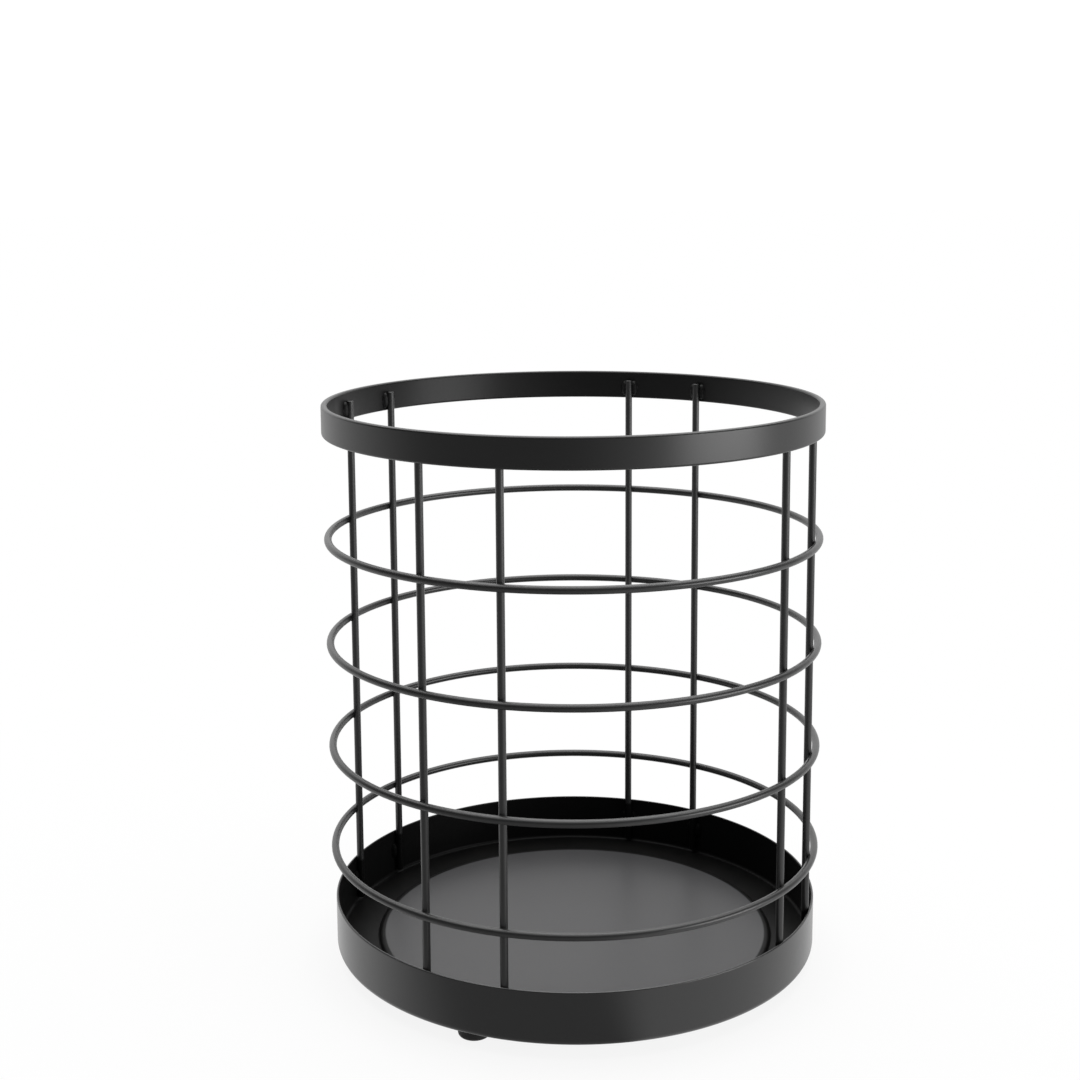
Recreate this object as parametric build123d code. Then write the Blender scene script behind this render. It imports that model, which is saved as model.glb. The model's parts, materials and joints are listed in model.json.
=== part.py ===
from build123d import *
import math
import os

# Utensil holder: a round wire cage between a flat rim band and a shallow pressed tray on four feet.
# Millimetres, +Z up. The origin is on the surface that the feet stand on, below the middle of the tray.

# Rim band: a flat strip rolled into a ring, standing on edge.
rim_outer_diameter = 160.0
rim_thickness = 2.0
rim_height = 9.5
rim_edge_radius = 0.7

# Uprights: straight wires in pairs, welded to the inner faces of the rim band and the tray's wall.
upright_wire_diameter = 2.4
upright_pairs = 4
pair_spacing = 26.0
upright_top_drop = 3.0
upright_floor_clearance = 0.3
wire_end_radius = 0.3

# Hoops: wire rings round the outside of the uprights, pressed a little way into them by spot welding.
hoop_wire_diameter = 2.4
hoop_count = 4
hoop_spacing = 34.0
lowest_hoop_gap = 17.0
top_hoop_gap = 33.8
weld_set_down = 0.45

# Tray: pressed from one sheet, with a rounded bottom corner and a raised middle panel.
tray_sheet = 0.8
tray_height = 16.8
tray_corner_radius = 2.0
panel_radius = 63.6
panel_rise = 1.0
panel_step_width = 2.0

# Feet: soft bumpers stuck under the flat ring round the raised panel.
foot_count = 4
foot_diameter = 10.0
foot_height = 4.0
foot_edge_radius = 1.2
foot_inset = 1.4

# Tack welds: a short upright bead on each side of every upright, on the rim band and on the tray's wall.
bead_width = 3.4
bead_length = 5.4
bead_rise = 1.3
bead_root_gap = 0.2

# Radii that follow: the uprights touch both walls, and the hoops lie round the uprights.
wall_radius = rim_outer_diameter / 2 - rim_thickness
upright_circle_radius = wall_radius - upright_wire_diameter / 2
hoop_circle_radius = wall_radius + hoop_wire_diameter / 2 - weld_set_down
tray_outer_radius = wall_radius + tray_sheet
inner_corner_radius = tray_corner_radius - tray_sheet

# Heights that follow, from the surface upwards.
tray_bottom = foot_height
tray_top = tray_bottom + tray_height
hoop_heights = [tray_top + lowest_hoop_gap + i * hoop_spacing for i in range(hoop_count)]
rim_bottom = hoop_heights[-1] + top_hoop_gap
rim_top = rim_bottom + rim_height
upright_bottom = tray_bottom + tray_sheet + inner_corner_radius + upright_floor_clearance
upright_top = rim_top - upright_top_drop

# The pairs face +X, +Y, -X and -Y, and the feet stand below the middle of each pair.
half_pair_angle = math.degrees(math.asin(pair_spacing / 2 / upright_circle_radius))
pair_angles = [i * 360 / upright_pairs for i in range(upright_pairs)]
upright_angles = [angle + side * half_pair_angle for angle in pair_angles for side in (-1, 1)]
foot_angles = [i * 360 / foot_count for i in range(foot_count)]


def at(radius, angle, height):
    return Rot(0, 0, angle) * Pos(radius, 0, height)


def turned(outline):
    return revolve(Plane.XZ * outline, Axis.Z)


def make_rim_band():
    middle = Pos(wall_radius + rim_thickness / 2, (rim_bottom + rim_top) / 2)
    return turned(middle * RectangleRounded(rim_thickness, rim_height, rim_edge_radius))


def make_hoop(height):
    return Pos(0, 0, height) * Torus(hoop_circle_radius, hoop_wire_diameter / 2)


def make_wire(angle):
    length = upright_top - upright_bottom
    place = at(upright_circle_radius, angle, (upright_bottom + upright_top) / 2)
    return place * Cylinder(upright_wire_diameter / 2, length)


def make_upright(angle, hoops):
    wire = make_wire(angle)
    ends = wire.edges().filter_by(GeomType.CIRCLE)
    wire = fillet(ends, wire_end_radius)
    for hoop in hoops:
        wire = wire - hoop
    return wire


def tray_step(radius_inside, radius_outside, base, side):
    """Two tangent arcs of the S-bend between the panel and the ring, for one face of the sheet."""
    bend = (panel_step_width**2 + panel_rise**2) / (4 * panel_rise)
    sweep = 2 * math.degrees(math.atan(panel_rise / panel_step_width))
    upper_centre = (radius_inside, base + panel_rise - bend)
    lower_centre = (radius_outside, base + bend)
    upper = CenterArc(upper_centre, bend + side * tray_sheet / 2, 90 - sweep, sweep)
    lower = CenterArc(lower_centre, bend - side * tray_sheet / 2, 270 - sweep, sweep)
    return [upper, lower]


def make_base_tray():
    middle_of_sheet = tray_bottom + tray_sheet / 2
    ring_inside = panel_radius + panel_step_width
    ring_top = tray_bottom + tray_sheet
    panel_bottom = tray_bottom + panel_rise
    panel_top = panel_bottom + tray_sheet
    lip_height = tray_top - tray_sheet / 2
    corner_height = tray_bottom + tray_corner_radius
    corner_centre_radius = tray_outer_radius - tray_corner_radius
    lip_middle = wall_radius + tray_sheet / 2
    edges = [
        Line((0, panel_bottom), (0, panel_top)),
        Line((0, panel_top), (panel_radius, panel_top)),
        *tray_step(panel_radius, ring_inside, middle_of_sheet, 1),
        Line((ring_inside, ring_top), (corner_centre_radius, ring_top)),
        CenterArc((corner_centre_radius, corner_height), inner_corner_radius, 270, 90),
        Line((wall_radius, corner_height), (wall_radius, lip_height)),
        CenterArc((lip_middle, lip_height), tray_sheet / 2, 0, 180),
        Line((tray_outer_radius, lip_height), (tray_outer_radius, corner_height)),
        CenterArc((corner_centre_radius, corner_height), tray_corner_radius, 270, 90),
        Line((corner_centre_radius, tray_bottom), (ring_inside, tray_bottom)),
        *tray_step(panel_radius, ring_inside, middle_of_sheet, -1),
        Line((panel_radius, panel_bottom), (0, panel_bottom)),
    ]
    return turned(make_face(edges))


def make_foot(angle):
    foot_radius = foot_diameter / 2
    circle_radius = tray_outer_radius - tray_corner_radius - foot_inset - foot_radius
    pad = Cylinder(foot_radius, foot_height)
    pad = fillet(pad.edges().sort_by(Axis.Z)[0], foot_edge_radius)
    return at(circle_radius, angle, foot_height / 2) * pad


def make_bead(height, side):
    """The bead on one side of an upright at angle 0: round at its ends, flat behind, cut off round the wire."""
    half_width = bead_width / 2
    rod_radius = (half_width**2 + bead_rise**2) / (2 * bead_rise)
    half_run = bead_length / 2 - half_width
    rod_end = half_run + rod_radius
    edges = [
        CenterArc((0, -half_run), rod_radius, 270, 90),
        Line((rod_radius, -half_run), (rod_radius, half_run)),
        CenterArc((0, half_run), rod_radius, 0, 90),
        Line((0, rod_end), (0, -rod_end)),
    ]
    back = math.sqrt(wall_radius**2 - half_width**2)
    rod = Pos(back - bead_rise + rod_radius, 0, height) * turned(make_face(edges))
    bead = split(rod, Plane((back, 0, height), z_dir=(1, 0, 0)), keep=Keep.BOTTOM)
    turn = side * math.degrees(math.asin((half_width + bead_root_gap) / wall_radius))
    return Rot(0, 0, turn) * (bead - make_wire(-turn))


def make_beads(height):
    pair = [make_bead(height, side) for side in (-1, 1)]
    return [Rot(0, 0, angle) * bead for angle in upright_angles for bead in pair]


def save(name, *shapes):
    solids = [solid for shape in shapes for solid in shape.solids()]
    part = solids[0] if len(solids) == 1 else Compound(children=solids)
    part.label = name
    export_step(part, os.path.join("parts", name + ".step"))


os.makedirs("parts", exist_ok=True)
hoops = [make_hoop(height) for height in hoop_heights]
save("rim_band", make_rim_band())
save("base_tray", make_base_tray())
for number, hoop in enumerate(hoops, 1):
    save(f"hoop_{number}", hoop)
for number, angle in enumerate(upright_angles, 1):
    save(f"upright_{number}", make_upright(angle, hoops))
for number, angle in enumerate(foot_angles, 1):
    save(f"foot_{number}", make_foot(angle))
save("rim_welds", *make_beads((rim_bottom + rim_edge_radius + upright_top) / 2))
save("tray_welds", *make_beads((upright_bottom + tray_top) / 2))
print(f"height {rim_top:.1f}, tray {2 * tray_outer_radius:.1f} across, hoops {2 * hoop_circle_radius:.1f}")
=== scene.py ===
import json
import math
import random

import bpy
from mathutils import Matrix, Vector


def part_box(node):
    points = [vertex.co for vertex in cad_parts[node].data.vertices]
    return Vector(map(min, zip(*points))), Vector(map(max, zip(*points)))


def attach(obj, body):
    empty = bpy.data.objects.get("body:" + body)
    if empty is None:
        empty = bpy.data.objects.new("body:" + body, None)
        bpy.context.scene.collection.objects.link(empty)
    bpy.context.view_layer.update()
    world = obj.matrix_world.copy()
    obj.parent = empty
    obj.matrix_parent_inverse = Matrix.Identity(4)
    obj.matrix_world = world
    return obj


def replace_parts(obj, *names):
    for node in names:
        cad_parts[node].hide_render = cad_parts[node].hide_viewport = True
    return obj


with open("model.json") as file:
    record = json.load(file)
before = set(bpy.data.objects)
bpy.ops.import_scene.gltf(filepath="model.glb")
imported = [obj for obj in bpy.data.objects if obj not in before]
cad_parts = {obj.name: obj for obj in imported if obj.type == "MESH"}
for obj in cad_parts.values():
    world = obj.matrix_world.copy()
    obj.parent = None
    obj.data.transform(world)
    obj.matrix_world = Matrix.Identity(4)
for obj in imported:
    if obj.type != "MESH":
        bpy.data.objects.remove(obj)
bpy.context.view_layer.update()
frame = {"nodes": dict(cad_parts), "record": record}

# Looks of the round wire holder: black powder coat on strip, sheet and wire, and rubber feet.
# The rim band, the tray and the weld metal are modelled here. The wires and feet are the frame's own.
# Metres and the frame's axes throughout. Sizes in millimetres go through MM, and named angles are degrees.
MM = 0.001
nodes = frame["nodes"]
band_low, band_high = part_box("rim_band")
tray_low, tray_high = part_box("base_tray")
rim_top = band_high.z
upright_names = [name for name in nodes if name.startswith("upright")]
hoop_names = [name for name in nodes if name.startswith("hoop")]

# Rim band: a flat strip on edge, with rounded edges.
rim_thickness = 2.0 * MM
rim_edge_radius = 0.7 * MM

# Tray: pressed from one sheet, with a rounded lower corner, a flat ring and a raised middle panel.
tray_sheet = 0.8 * MM
tray_corner_radius = 2.0 * MM
panel_radius = 63.6 * MM
panel_rise = 1.0 * MM
panel_step_width = 2.0 * MM

# Facets of the band and the tray: round the holder, and along the small arcs of their sections.
round_facets = 288
rim_edge_facets = 6
arc_facets = 8
square_edge_angle = 60
flat_face_weight = 90

# Weld beads: a drawn-out puddle on each side of every wire, with a thin skirt and its root in the wall.
wall_radius = band_high.x - rim_thickness
bead_width = 3.2 * MM
bead_length = 5.6 * MM
bead_rise = 1.3 * MM
bead_offset = 1.6 * MM
skirt_rise = 0.35 * MM
root_depth = 0.25 * MM
bead_grain = 0.15 * MM
cut_threshold = 0.001 * MM
bead_segments = 20
bead_smoothing_passes = 5

# The two puddles and the skirt of a bead, as shares of its half width, half length and rise.
# A pair of numbers is the range of a random draw.
bead_sway = 0.08
skirt_spread = 1.05
puddle_rise = (0.92, 1.0)
puddle_width = (0.82, 0.92)
puddle_offset = (0.16, 0.22)
puddle_length = 0.76

# Crossing welds: a squeezed-out collar of metal where a hoop is pressed into an upright.
set_down = 0.45 * MM
collar_radius = 1.4 * MM
collar_thickness = 1.0 * MM
collar_spread = (0.94, 1.06)
collar_stretch = (0.95, 1.1)
collar_dents = 0.08 * MM
collar_segments = 16
collar_smoothing_passes = 3
collar_seed = 7
smoothing = 0.5

# Finish: satin powder coat. It is a little duller inside the rim band, thin and dull inside the tray,
# and drier and paler on the tray's raised panel. Wires and welds go blacker and duller down in the tray:
# painted shade.
coat_black = (0.003, 0.003, 0.003, 1)
coat_fleck = (0.008, 0.008, 0.008, 1)
wire_black = (0.015, 0.015, 0.015, 1)
panel_grey = (0.047, 0.047, 0.049, 1)
dust_grey = (0.25, 0.24, 0.22, 1)
band_roughness = 0.36
wire_roughness = 0.34
weld_roughness = 0.5
tray_roughness = 0.26
panel_roughness = 0.36
inside_roughness = 0.4
outside_gloss = 0.5
band_inside_gloss = 0.26
panel_gloss = 0.32
inside_gloss = 0.06
coat_ior = 1.5
tray_ior = 1.6
weld_ior = 1.3
dust_amount = 0.02
band_dust = 0.01

# Width and depth of the coat's orange peel, and the finer grain's share of the depth.
band_peel = (1.1 * MM, 0.006 * MM)
tray_peel = (1.2 * MM, 0.005 * MM)
wire_peel = (0.9 * MM, 0.006 * MM)
weld_peel = (0.8 * MM, 0.012 * MM)
grain_share = 0.25
fleck_strength = 0.3

# Where one state of the coat gives way to the next. The skins are distances out from an inner face.
dry_patch_inset = 1.0 * MM
dry_patch_radius = panel_radius - dry_patch_inset
dry_patch_blur = 0.8 * MM
lip_blur = 1.5 * MM
band_inner_skin = (0.2 * MM, 0.8 * MM)
tray_inner_skin = (0.1 * MM, 0.3 * MM)

# Rubber of the feet, with a faint bloom.
rubber_black = (0.008, 0.008, 0.008, 1)
rubber_bloom = (0.016, 0.016, 0.015, 1)
rubber_roughness = (0.55, 0.75)
rubber_ior = 1.5
rubber_grain_depth = 0.02 * MM

# Blobs per metre in the noise of each finish.
gloss_drift_blobs = 40.0
dust_patch_blobs = 90.0
dust_speck_blobs = 2600.0
rubber_grain_blobs = 3500.0
rubber_bloom_blobs = 300.0

# Camera: from the front, a little above the rim, with a slightly lowered frame.
camera_azimuth = 25.16
camera_distance = 539.5 * MM
camera_above_rim = 70.7 * MM
camera_tilt_down = 8.575
camera_turn_right = -1.1
camera_roll = -0.2
camera_lens = 56.7
camera_frame_shift = -0.1

# Studio: a dark room with a white backdrop and ceiling, and two soft boxes.
backdrop_azimuth = camera_azimuth + 180
backdrop_level = 1.1
backdrop_inner_edge = 40
backdrop_outer_edge = 75
dark_room_level = 0.12
ceiling_start = 35
ceiling_full = 62
ceiling_level = 1.8
room_fill = 0.3
side_box_azimuth = camera_azimuth + 66
side_box_distance = 1.1
side_box_width = 0.8
side_box_height = 0.36
side_box_clearance = 10 * MM
side_box_watts = 6.4
top_box_elevation = 75
top_box_distance = 1.2
top_box_width = 1.6
top_box_depth = 1.3
top_box_watts = 16

# Floor: white where it is lit, with a soft shadow round the holder and a dimmer side for reflections.
white = (1, 1, 1, 1)
floor_paint = (0.9, 0.9, 0.9, 1)
floor_radius = 12.0
floor_facets = 96
shadow_reach = 0.35
shadow_depth = 0.12
floor_azimuth = camera_azimuth - 34
floor_front_level = 0.42
floor_inner_edge = 33
floor_outer_edge = 68
floor_dim_forward = 60 * MM
floor_dim_right = 15 * MM


def clear_selection():
    bpy.ops.object.select_all(action="DESELECT")


def middle_of(name):
    low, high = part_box(name)
    return (low + high) / 2


def azimuth_of(name):
    """The angle of an upright round the holder's axis, in radians from +X."""
    middle = middle_of(name)
    return math.atan2(middle.y, middle.x)


def spoke(angle, radius):
    """The level place at that radius, its angle in radians from +X."""
    return Vector((math.cos(angle), math.sin(angle), 0)) * radius


def toward(azimuth):
    """The level direction from the holder to something at that azimuth, 0 being the -Y side."""
    turn = math.radians(azimuth)
    return Vector((math.sin(turn), -math.cos(turn), 0))


# Node helpers.
def add_node(tree, kind, **settings):
    node = tree.nodes.new(kind)
    for name, value in settings.items():
        setattr(node, name, value)
    return node


def feed(tree, value, socket):
    """Links a socket, or sets a plain number, vector or colour."""
    if isinstance(value, bpy.types.NodeSocket):
        tree.links.new(value, socket)
    else:
        socket.default_value = value


def calc(tree, operation, *values, clamp=False):
    node = add_node(tree, "ShaderNodeMath", operation=operation, use_clamp=clamp)
    for value, socket in zip(values, node.inputs):
        feed(tree, value, socket)
    return node.outputs["Value"]


def vector_calc(tree, operation, *values):
    node = add_node(tree, "ShaderNodeVectorMath", operation=operation)
    for value, socket in zip(values, node.inputs):
        feed(tree, value, socket)
    return node.outputs


def z_of(tree, vector):
    split = add_node(tree, "ShaderNodeSeparateXYZ")
    feed(tree, vector, split.inputs["Vector"])
    return split.outputs["Z"]


def ramp(tree, value, start, end, low=0.0, high=1.0):
    """Smooth step of value between start and end, from low to high."""
    node = add_node(tree, "ShaderNodeMapRange", interpolation_type="SMOOTHSTEP")
    names = ("Value", "From Min", "From Max", "To Min", "To Max")
    for name, number in zip(names, (value, start, end, low, high)):
        feed(tree, number, node.inputs[name])
    return node.outputs["Result"]


def noise(tree, blobs, detail=2.0, roughness=0.5):
    """Noise fixed to the object, with so many blobs per metre."""
    node = add_node(tree, "ShaderNodeTexNoise")
    names = ("Vector", "Scale", "Detail", "Roughness")
    for name, value in zip(names, (object_place(tree), blobs, detail, roughness)):
        feed(tree, value, node.inputs[name])
    return node.outputs["Fac"]


def blend_colour(tree, share, first, second):
    """Mix node of colours, whose two colours are its inputs 6 and 7."""
    node = add_node(tree, "ShaderNodeMix", data_type="RGBA")
    feed(tree, share, node.inputs["Factor"])
    feed(tree, first, node.inputs[6])
    feed(tree, second, node.inputs[7])
    return node.outputs[2]


def mix_shaders(tree, share, first, second):
    node = add_node(tree, "ShaderNodeMixShader")
    feed(tree, share, node.inputs["Fac"])
    feed(tree, first, node.inputs[1])
    feed(tree, second, node.inputs[2])
    return node.outputs["Shader"]


def object_place(tree):
    return add_node(tree, "ShaderNodeTexCoord").outputs["Object"]


def surface_normal(tree):
    return add_node(tree, "ShaderNodeNewGeometry").outputs["Normal"]


def radius_from_axis(tree):
    level_place = vector_calc(tree, "MULTIPLY", object_place(tree), (1, 1, 0))["Vector"]
    return vector_calc(tree, "LENGTH", level_place)["Value"]


# Shader groups.
NUMBER = "NodeSocketFloat"
COLOUR = "NodeSocketColor"
ARROW = "NodeSocketVector"


def start_group(name, inputs, outputs):
    group = bpy.data.node_groups.new(name, "ShaderNodeTree")
    for socket_name, kind, value in inputs:
        socket = group.interface.new_socket(socket_name, in_out="INPUT", socket_type=kind)
        if value is not None:
            socket.default_value = value
    for socket_name, kind in outputs:
        group.interface.new_socket(socket_name, in_out="OUTPUT", socket_type=kind)
    return group, add_node(group, "NodeGroupInput").outputs, add_node(group, "NodeGroupOutput").inputs


def use_group(tree, group, **values):
    """Places a group. A socket's name is given with underscores for its spaces."""
    node = add_node(tree, "ShaderNodeGroup", node_tree=group)
    for name, value in values.items():
        feed(tree, value, node.inputs[name.replace("_", " ")])
    return node.outputs


def build_coat_group():
    """Powder coat: a shallow orange peel, a finer grain in it, and gloss that drifts over the surface."""
    group, given, result = start_group(
        "powder_coat",
        [
            ("Colour", COLOUR, coat_black),
            ("Roughness", NUMBER, 0.3),
            ("Peel Width", NUMBER, 1.1 * MM),
            ("Grain Width", NUMBER, 0.25 * MM),
            ("Gloss Drift", NUMBER, 0.035),
        ],
        [("Colour", COLOUR), ("Roughness", NUMBER), ("Height", NUMBER)],
    )
    peel = noise(group, calc(group, "DIVIDE", 1.0, given["Peel Width"]), detail=1.0)
    grain = noise(group, calc(group, "DIVIDE", 1.0, given["Grain Width"]), roughness=0.6)
    drift = noise(group, gloss_drift_blobs, detail=3.0)
    grain_height = calc(group, "MULTIPLY", grain, grain_share)
    height = calc(group, "MULTIPLY_ADD", peel, 1 - grain_share, grain_height)
    feed(group, height, result["Height"])
    wide_change = calc(group, "SUBTRACT", drift, 0.5)
    fine_change = calc(group, "SUBTRACT", grain, 0.5)
    roughness = calc(group, "MULTIPLY_ADD", wide_change, given["Gloss Drift"], given["Roughness"])
    roughness = calc(group, "MULTIPLY_ADD", fine_change, given["Gloss Drift"], roughness)
    feed(group, roughness, result["Roughness"])
    flecks = ramp(group, grain, 0.35, 0.75, 0.0, fleck_strength)
    feed(group, blend_colour(group, flecks, given["Colour"], coat_fleck), result["Colour"])
    return group


def build_dust_group():
    """A thin, patchy film of dust on what faces up."""
    group, given, result = start_group(
        "settled_dust",
        [
            ("Colour", COLOUR, coat_black),
            ("Roughness", NUMBER, 0.4),
            ("Amount", NUMBER, 0.1),
        ],
        [("Colour", COLOUR), ("Roughness", NUMBER)],
    )
    faces_up = ramp(group, z_of(group, surface_normal(group)), 0.75, 1.0)
    patches = ramp(group, noise(group, dust_patch_blobs, detail=4.0, roughness=0.6), 0.35, 0.75)
    specks = ramp(group, noise(group, dust_speck_blobs, detail=0.0), 0.7, 0.8)
    cover = calc(group, "ADD", calc(group, "MULTIPLY", patches, 0.5), specks, clamp=True)
    share = calc(group, "MULTIPLY", calc(group, "MULTIPLY", cover, faces_up), given["Amount"])
    feed(group, blend_colour(group, share, given["Colour"], dust_grey), result["Colour"])
    feed(group, calc(group, "MULTIPLY_ADD", share, 0.4, given["Roughness"]), result["Roughness"])
    return group


def build_side_group():
    """One brightness round a level direction, and another away from it, with a soft change between."""
    group, given, result = start_group(
        "studio_side",
        [
            ("Direction", ARROW, None),
            ("Middle", ARROW, None),
            ("Inner Edge", NUMBER, 30),
            ("Outer Edge", NUMBER, 75),
            ("Level There", NUMBER, 1.0),
            ("Level Elsewhere", NUMBER, 0.1),
        ],
        [("Brightness", NUMBER)],
    )
    level_way = vector_calc(group, "MULTIPLY", given["Direction"], (1, 1, 0))["Vector"]
    unit = vector_calc(group, "NORMALIZE", level_way)["Vector"]
    facing = vector_calc(group, "DOT_PRODUCT", unit, given["Middle"])["Value"]
    angle = calc(group, "DEGREES", calc(group, "ARCCOSINE", facing))
    edges = (given["Inner Edge"], given["Outer Edge"])
    shade = ramp(group, angle, *edges, given["Level There"], given["Level Elsewhere"])
    feed(group, shade, result["Brightness"])
    return group


powder_coat = build_coat_group()
settled_dust = build_dust_group()
studio_side = build_side_group()


# Finishes.
def start_material(name):
    material = bpy.data.materials.new(name)
    material.use_nodes = True
    tree = material.node_tree
    tree.nodes.clear()
    shader = add_node(tree, "ShaderNodeBsdfPrincipled")
    output = add_node(tree, "ShaderNodeOutputMaterial")
    feed(tree, shader.outputs["BSDF"], output.inputs["Surface"])
    return material, tree, shader


def add_bump(tree, shader, height, depth):
    bump = add_node(tree, "ShaderNodeBump")
    bump.inputs["Strength"].default_value = 1.0
    bump.inputs["Distance"].default_value = depth
    feed(tree, height, bump.inputs["Height"])
    feed(tree, bump.outputs["Normal"], shader.inputs["Normal"])


def spread_coat(tree, shader, colour, roughness, peel, dust):
    peel_width, peel_depth = peel
    coat = use_group(tree, powder_coat, Colour=colour, Roughness=roughness, Peel_Width=peel_width)
    dusty = use_group(tree, settled_dust, Colour=coat["Colour"], Roughness=coat["Roughness"], Amount=dust)
    feed(tree, dusty["Colour"], shader.inputs["Base Color"])
    feed(tree, dusty["Roughness"], shader.inputs["Roughness"])
    add_bump(tree, shader, coat["Height"], peel_depth)


def below_lip(tree):
    """1 down in the tray, and 0 above its lip."""
    return ramp(tree, z_of(tree, object_place(tree)), tray_high.z - lip_blur, tray_high.z, 1.0, 0.0)


def make_coat(name, colour, roughness, peel, ior):
    """Satin, with painted shade down in the tray: blacker and duller there."""
    material, tree, shader = start_material(name)
    # Painted shade: below the tray's lip the colour goes blacker and the gloss duller, for the shade inside
    # the tray.
    thin = below_lip(tree)
    painted_shade_colour = blend_colour(tree, thin, colour, coat_black)
    spread_coat(tree, shader, painted_shade_colour, roughness, peel, dust_amount)
    gloss = ramp(tree, thin, 0.0, 1.0, outside_gloss, inside_gloss)
    feed(tree, gloss, shader.inputs["Specular IOR Level"])
    shader.inputs["IOR"].default_value = ior
    return material


def make_band_coat():
    """Satin outside, and duller on the face inside."""
    material, tree, shader = start_material("band_coat")
    skin_start, skin_end = band_inner_skin
    outside = ramp(tree, radius_from_axis(tree), wall_radius + skin_start, wall_radius + skin_end)
    spread_coat(tree, shader, coat_black, band_roughness, band_peel, band_dust)
    gloss = ramp(tree, outside, 0.0, 1.0, band_inside_gloss, outside_gloss)
    feed(tree, gloss, shader.inputs["Specular IOR Level"])
    shader.inputs["IOR"].default_value = coat_ior
    return material


def tray_parts(tree):
    """Where the tray's surface is the top of the raised panel, and where it is the outside of the tray."""
    radius = radius_from_axis(tree)
    rise = z_of(tree, surface_normal(tree))
    skin_start, skin_end = tray_inner_skin
    within_panel = ramp(tree, radius, dry_patch_radius, dry_patch_radius + dry_patch_blur, 1.0, 0.0)
    faces_up = ramp(tree, rise, 0.2, 0.6)
    on_wall = ramp(tree, radius, wall_radius + skin_start, wall_radius + skin_end)
    underneath = ramp(tree, rise, -0.6, -0.2, 1.0, 0.0)
    return calc(tree, "MULTIPLY", within_panel, faces_up), calc(tree, "MAXIMUM", on_wall, underneath)


def make_tray_coat():
    """Satin outside, thin and dull inside, and drier and paler on the raised panel."""
    material, tree, shader = start_material("tray_coat")
    on_panel, outside = tray_parts(tree)
    colour = blend_colour(tree, on_panel, coat_black, panel_grey)
    roughness = ramp(tree, on_panel, 0.0, 1.0, inside_roughness, panel_roughness)
    roughness = ramp(tree, outside, 0.0, 1.0, roughness, tray_roughness)
    spread_coat(tree, shader, colour, roughness, tray_peel, dust_amount)
    gloss = ramp(tree, on_panel, 0.0, 1.0, inside_gloss, panel_gloss)
    gloss = ramp(tree, outside, 0.0, 1.0, gloss, outside_gloss)
    feed(tree, gloss, shader.inputs["Specular IOR Level"])
    shader.inputs["IOR"].default_value = tray_ior
    return material


def make_rubber():
    """Matt and finely grained, with a faint uneven bloom."""
    material, tree, shader = start_material("foot_rubber")
    grain = noise(tree, rubber_grain_blobs, detail=3.0, roughness=0.6)
    bloom = ramp(tree, noise(tree, rubber_bloom_blobs), 0.4, 0.8)
    feed(tree, blend_colour(tree, bloom, rubber_black, rubber_bloom), shader.inputs["Base Color"])
    feed(tree, ramp(tree, grain, 0.2, 0.8, *rubber_roughness), shader.inputs["Roughness"])
    shader.inputs["IOR"].default_value = rubber_ior
    add_bump(tree, shader, grain, rubber_grain_depth)
    return material


coats = {
    "band_coat": make_band_coat(),
    "tray_coat": make_tray_coat(),
    "wire_coat": make_coat("wire_coat", wire_black, wire_roughness, wire_peel, coat_ior),
    "weld_coat": make_coat("weld_coat", coat_black, weld_roughness, weld_peel, weld_ior),
    "foot_rubber": make_rubber(),
}
finish_of = {row["node"]: row["material_slot"] for row in frame["record"]["subparts"]}
for name, node in nodes.items():
    node.material_slots[0].material = coats[finish_of[name]]


# Camera and lamps.
def place_camera():
    camera = bpy.data.cameras.new("front_camera")
    camera.lens = camera_lens
    camera.shift_y = camera_frame_shift
    stand = bpy.data.objects.new("front_camera", camera)
    bpy.context.scene.collection.objects.link(stand)
    swing = Matrix.Rotation(math.radians(camera_azimuth), 4, "Z")
    spot = Matrix.Translation((0, -camera_distance, rim_top + camera_above_rim))
    tilt = Matrix.Rotation(math.radians(90 - camera_tilt_down), 4, "X")
    turn = Matrix.Rotation(math.radians(-camera_turn_right), 4, "Y")
    roll = Matrix.Rotation(math.radians(camera_roll), 4, "Z")
    stand.matrix_world = swing @ spot @ tilt @ turn @ roll
    bpy.context.scene.camera = stand


def add_soft_box(name, spot, aim, width, height, watts):
    lamp = bpy.data.lights.new(name, "AREA")
    lamp.shape = "RECTANGLE"
    lamp.size = width
    lamp.size_y = height
    lamp.energy = watts
    stand = bpy.data.objects.new(name, lamp)
    bpy.context.scene.collection.objects.link(stand)
    stand.location = spot
    stand.rotation_mode = "QUATERNION"
    stand.rotation_quaternion = (aim - spot).to_track_quat("-Z", "Y")
    stand.visible_camera = False


def light_studio():
    """A level soft box at the side, just above the floor, and a large one overhead."""
    side = toward(side_box_azimuth) * side_box_distance
    side.z = side_box_height / 2 + side_box_clearance
    level_aim = Vector((0, 0, side.z))
    add_soft_box("side_box", side, level_aim, side_box_width, side_box_height, side_box_watts)
    middle = Vector((0, 0, rim_top / 2))
    rise = math.radians(top_box_elevation)
    top = toward(backdrop_azimuth) * math.cos(rise) + Vector((0, 0, math.sin(rise)))
    add_soft_box("top_box", top * top_box_distance, middle, top_box_width, top_box_depth, top_box_watts)


# Room and floor.
def seen_brightness(tree, direction, azimuth, **side):
    """Masks of the camera's rays and of all that see the studio, and its brightness, white to the camera."""
    rays = add_node(tree, "ShaderNodeLightPath").outputs
    from_camera = rays["Is Camera Ray"]
    seen = calc(tree, "MAXIMUM", from_camera, rays["Is Glossy Ray"])
    seen = calc(tree, "MAXIMUM", seen, rays["Is Transmission Ray"])
    room = use_group(tree, studio_side, Direction=direction, Middle=toward(azimuth), **side)["Brightness"]
    return from_camera, seen, calc(tree, "MAXIMUM", room, from_camera)


def light_up(tree, kind, strength):
    """A white background or emission."""
    node = add_node(tree, kind)
    feed(tree, white, node.inputs["Color"])
    feed(tree, strength, node.inputs["Strength"])
    return node.outputs[0]


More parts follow.
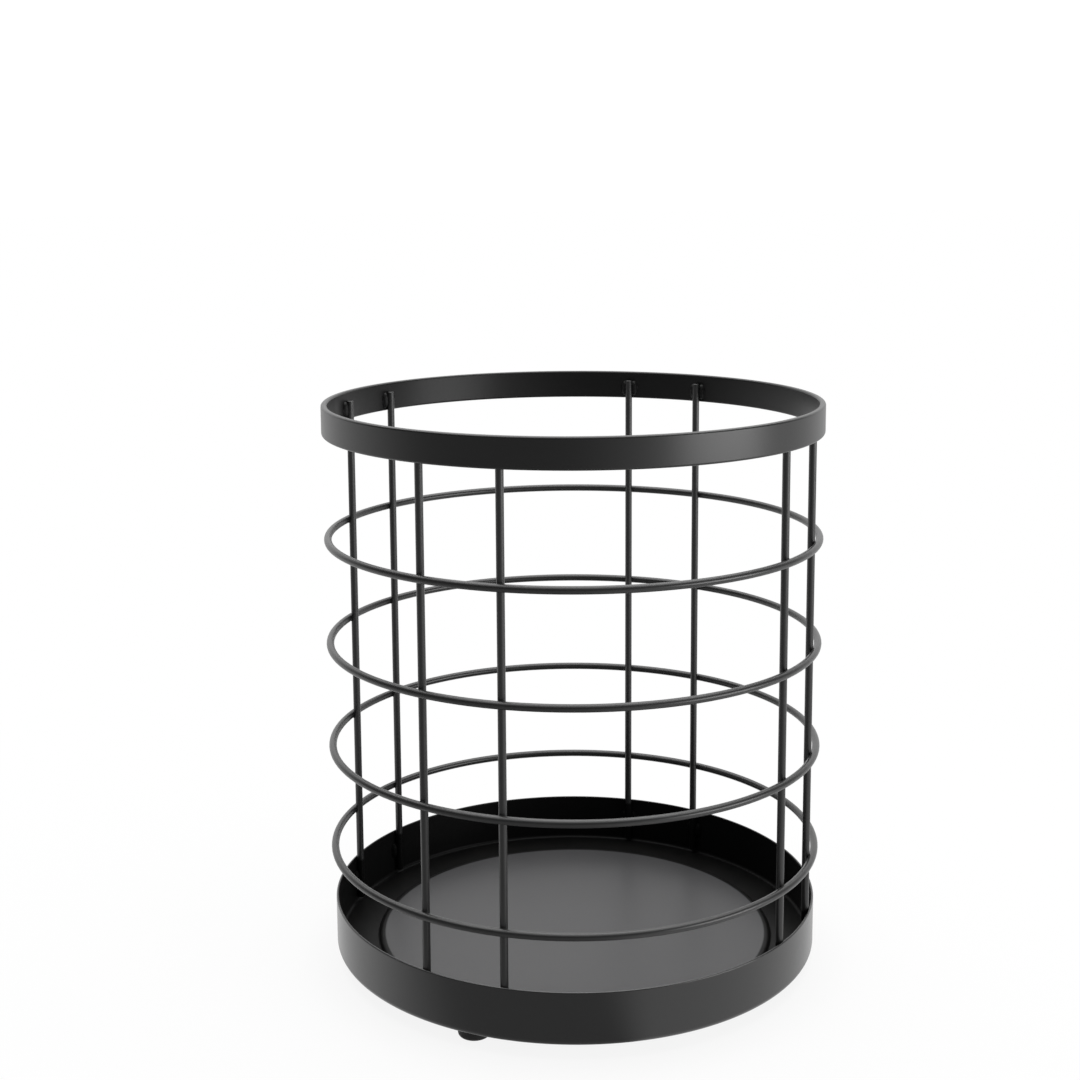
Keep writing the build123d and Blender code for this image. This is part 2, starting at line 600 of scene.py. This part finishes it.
def light_world():
    """An even fill for the surfaces, and the room, backdrop and ceiling for what looks into it."""
    world = bpy.data.worlds.new("studio_room")
    bpy.context.scene.world = world
    world.use_nodes = True
    world.cycles.sampling_method = "NONE"
    tree = world.node_tree
    tree.nodes.clear()
    direction = add_node(tree, "ShaderNodeTexCoord").outputs["Generated"]
    _, seen, level = seen_brightness(
        tree,
        direction,
        backdrop_azimuth,
        Inner_Edge=backdrop_inner_edge,
        Outer_Edge=backdrop_outer_edge,
        Level_There=backdrop_level,
        Level_Elsewhere=dark_room_level,
    )
    elevation = calc(tree, "DEGREES", calc(tree, "ARCSINE", z_of(tree, direction)))
    ceiling = ramp(tree, elevation, ceiling_start, ceiling_full, 0.0, ceiling_level)
    room = light_up(tree, "ShaderNodeBackground", calc(tree, "MAXIMUM", level, ceiling))
    fill = light_up(tree, "ShaderNodeBackground", room_fill)
    surface = add_node(tree, "ShaderNodeOutputWorld").inputs["Surface"]
    feed(tree, mix_shaders(tree, seen, fill, room), surface)


def make_floor_material():
    """Matt under the lamps, lit up for the camera and for reflections, and clear from below."""
    material = bpy.data.materials.new("studio_floor")
    material.use_nodes = True
    material.cycles.emission_sampling = "NONE"
    tree = material.node_tree
    tree.nodes.clear()
    place = object_place(tree)
    dim_centre = toward(camera_azimuth) * floor_dim_forward + toward(camera_azimuth + 90) * floor_dim_right
    from_camera, seen, level = seen_brightness(
        tree,
        vector_calc(tree, "SUBTRACT", place, dim_centre)["Vector"],
        floor_azimuth,
        Inner_Edge=floor_inner_edge,
        Outer_Edge=floor_outer_edge,
        Level_There=floor_front_level,
        Level_Elsewhere=1.0,
    )
    distance = vector_calc(tree, "LENGTH", place)["Value"]
    lit_share = ramp(tree, distance, band_high.x, shadow_reach, shadow_depth, 0.0)
    shaded_share = calc(tree, "MULTIPLY", lit_share, from_camera)
    glow_share = calc(tree, "MULTIPLY", calc(tree, "SUBTRACT", 1.0, shaded_share), seen)
    matt = add_node(tree, "ShaderNodeBsdfDiffuse")
    feed(tree, floor_paint, matt.inputs["Color"])
    glow = light_up(tree, "ShaderNodeEmission", level)
    top = mix_shaders(tree, glow_share, matt.outputs["BSDF"], glow)
    from_below = add_node(tree, "ShaderNodeNewGeometry").outputs["Backfacing"]
    clear = add_node(tree, "ShaderNodeBsdfTransparent").outputs["BSDF"]
    surface = add_node(tree, "ShaderNodeOutputMaterial").inputs["Surface"]
    feed(tree, mix_shaders(tree, from_below, top, clear), surface)
    return material


def lay_floor():
    clear_selection()
    bpy.ops.mesh.primitive_circle_add(vertices=floor_facets, radius=floor_radius, fill_type="NGON")
    floor = bpy.context.object
    floor.name = "studio_floor"
    floor.data.materials.append(make_floor_material())


# Modelling helpers.
def use_modifier(kind, **settings):
    piece = bpy.context.object
    modifier = piece.modifiers.new(kind.lower(), kind)
    for name, value in settings.items():
        setattr(modifier, name, value)
    bpy.ops.object.modifier_apply(modifier=modifier.name)


def smooth_round_faces():
    """Shades the active piece smooth, and keeps its flat faces flat."""
    bpy.ops.object.shade_smooth()
    use_modifier("WEIGHTED_NORMAL", weight=flat_face_weight)


def settle(place, turn=0):
    """Turns the active piece by so many radians about +Z, moves it to its place and makes that its rest."""
    piece = bpy.context.object
    piece.rotation_euler = (0, 0, turn)
    piece.location = place
    bpy.ops.object.transform_apply(location=True, rotation=True, scale=True)
    return piece


def give(piece, name, coat):
    """Names and coats a piece, and makes it part of the holder."""
    piece.name = name
    piece.data.materials.clear()
    piece.data.materials.append(coats[coat])
    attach(piece, "root")
    return piece


# Rim band and tray.
def roll_rim_band():
    """The rim band again, rounder than the CAD's mesh, which has small notches along its outer edges."""
    clear_selection()
    height = band_high.z - band_low.z
    bpy.ops.mesh.primitive_cylinder_add(
        vertices=round_facets,
        radius=band_high.x,
        depth=height,
        end_fill_type="NOTHING",
    )
    use_modifier("SOLIDIFY", thickness=rim_thickness, offset=-1, use_even_offset=True)
    edge_limit = math.radians(square_edge_angle)
    use_modifier("BEVEL", width=rim_edge_radius, segments=rim_edge_facets, angle_limit=edge_limit)
    smooth_round_faces()
    strip = settle((0, 0, band_low.z + height / 2))
    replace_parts(give(strip, "rim_strip", "band_coat"), "rim_band")


def arc(centre, radius, start, sweep):
    """Points (radius, height) along an arc of the tray's section. Angles in degrees, 0 being outwards."""
    angles = [math.radians(start + sweep * step / arc_facets) for step in range(arc_facets + 1)]
    return [(centre[0] + radius * math.cos(angle), centre[1] + radius * math.sin(angle)) for angle in angles]


def tray_outline():
    """The tray's section: from the panel's underside out, up the wall, over the lip and back in on top."""
    half_sheet = tray_sheet / 2
    bend = (panel_step_width**2 + panel_rise**2) / (4 * panel_rise)
    sweep = 2 * math.degrees(math.atan(panel_rise / panel_step_width))
    ring_middle = tray_low.z + half_sheet
    upper_bend = (panel_radius, ring_middle + panel_rise - bend)
    lower_bend = (panel_radius + panel_step_width, ring_middle + bend)
    corner = (tray_high.x - tray_corner_radius, tray_low.z + tray_corner_radius)
    lip = (tray_high.x - half_sheet, tray_high.z - half_sheet)
    return [
        *arc(upper_bend, bend - half_sheet, 90, -sweep),
        *arc(lower_bend, bend + half_sheet, 270 - sweep, sweep)[1:],
        *arc(corner, tray_corner_radius, 270, 90),
        *arc(lip, half_sheet, 0, 180),
        *arc(corner, tray_corner_radius - tray_sheet, 0, -90),
        *arc(lower_bend, bend - half_sheet, 270, -sweep),
        *arc(upper_bend, bend + half_sheet, 90 - sweep, sweep)[1:],
    ]


def press_tray():
    """The tray again, rounder than the CAD's mesh: a disc that is extruded all the way round its section."""
    outline = tray_outline()
    first_radius, first_height = outline[0]
    clear_selection()
    bpy.ops.mesh.primitive_circle_add(vertices=round_facets, radius=first_radius, fill_type="NGON")
    bpy.ops.object.mode_set(mode="EDIT")
    bpy.ops.mesh.select_all(action="SELECT")
    for (radius, height), (next_radius, next_height) in zip(outline, outline[1:]):
        bpy.ops.mesh.extrude_region_move(TRANSFORM_OT_translate={"value": (0, 0, next_height - height)})
        bpy.ops.transform.resize(value=(next_radius / radius, next_radius / radius, 1))
    bpy.ops.mesh.select_all(action="SELECT")
    bpy.ops.mesh.normals_make_consistent(inside=False)
    bpy.ops.object.mode_set(mode="OBJECT")
    smooth_round_faces()
    tray = settle((0, 0, first_height))
    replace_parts(give(tray, "pressed_tray", "tray_coat"), "base_tray")


# Weld metal.
def add_lump(centre, size, segments):
    """A round lump, put into the mesh that is being edited or into one of its own."""
    bpy.ops.mesh.primitive_uv_sphere_add(
        segments=segments,
        ring_count=segments // 2,
        location=centre,
        scale=size,
    )


def mould_bead(chance):
    """One bead on a wall in the YZ plane, rising along +X: two run-together puddles and a skirt."""
    half_width = bead_width / 2
    half_length = bead_length / 2
    sway = chance.uniform(-bead_sway, bead_sway) * half_width
    clear_selection()
    add_lump((0, 0, 0), (skirt_rise, half_width * skirt_spread, half_length), bead_segments)
    bpy.ops.object.transform_apply(location=True, rotation=True, scale=True)
    bpy.ops.object.mode_set(mode="EDIT")
    for side in (-1, 1):
        rise = bead_rise * chance.uniform(*puddle_rise)
        width = half_width * chance.uniform(*puddle_width)
        centre = (0, side * sway, side * half_length * chance.uniform(*puddle_offset))
        add_lump(centre, (rise, width, half_length * puddle_length), bead_segments)
    bpy.ops.object.mode_set(mode="OBJECT")
    use_modifier("REMESH", mode="VOXEL", voxel_size=bead_grain)
    use_modifier("SMOOTH", factor=smoothing, iterations=bead_smoothing_passes)
    bpy.ops.object.mode_set(mode="EDIT")
    bpy.ops.mesh.select_all(action="SELECT")
    bpy.ops.mesh.bisect(
        plane_co=(-root_depth, 0, 0),
        plane_no=(1, 0, 0),
        use_fill=True,
        clear_inner=True,
        threshold=cut_threshold,
    )
    bpy.ops.object.mode_set(mode="OBJECT")


def mould_collar(chance):
    """One collar round the crossing of a hoop and an upright, thin along X and a little uneven."""
    clear_selection()
    radius = collar_radius * chance.uniform(*collar_spread)
    size = (collar_thickness / 2, radius, radius * chance.uniform(*collar_stretch))
    add_lump((0, 0, 0), size, collar_segments)
    bpy.ops.object.transform_apply(location=True, rotation=True, scale=True)
    bpy.ops.object.mode_set(mode="EDIT")
    bpy.ops.mesh.select_all(action="SELECT")
    bpy.ops.transform.vertex_random(offset=collar_dents, seed=chance.randint(0, 1000))
    bpy.ops.mesh.vertices_smooth(factor=smoothing, repeat=collar_smoothing_passes)
    bpy.ops.object.mode_set(mode="OBJECT")


def gather(pieces, name):
    """Joins pieces of weld metal into one, shades it smooth and makes it part of the holder."""
    clear_selection()
    for piece in pieces:
        piece.select_set(True)
    bpy.context.view_layer.objects.active = pieces[0]
    bpy.ops.object.join()
    bpy.ops.object.shade_smooth()
    return give(bpy.context.object, name, "weld_coat")


def weld_uprights(node, name):
    """Beads on both sides of every upright at the height of the CAD's own beads."""
    height = Vector((0, 0, middle_of(node).z))
    step_aside = math.asin(bead_offset / wall_radius)
    chance = random.Random(node)
    beads = []
    for upright in upright_names:
        for side in (-1, 1):
            angle = azimuth_of(upright) + side * step_aside
            mould_bead(chance)
            beads.append(settle(spoke(angle, wall_radius) + height, angle + math.pi))
    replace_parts(gather(beads, name), node)


def weld_crossings():
    """A collar at every crossing of a hoop and an upright."""
    chance = random.Random(collar_seed)
    collars = []
    for hoop in hoop_names:
        height = Vector((0, 0, middle_of(hoop).z))
        for upright in upright_names:
            angle = azimuth_of(upright)
            mould_collar(chance)
            collars.append(settle(spoke(angle, wall_radius - set_down / 2) + height, angle))
    gather(collars, "crossing_welds")


roll_rim_band()
press_tray()
weld_uprights("rim_welds", "rim_weld_beads")
weld_uprights("tray_welds", "tray_weld_beads")
weld_crossings()

bpy.context.scene.view_settings.view_transform = "Standard"
place_camera()
light_studio()
light_world()
lay_floor()
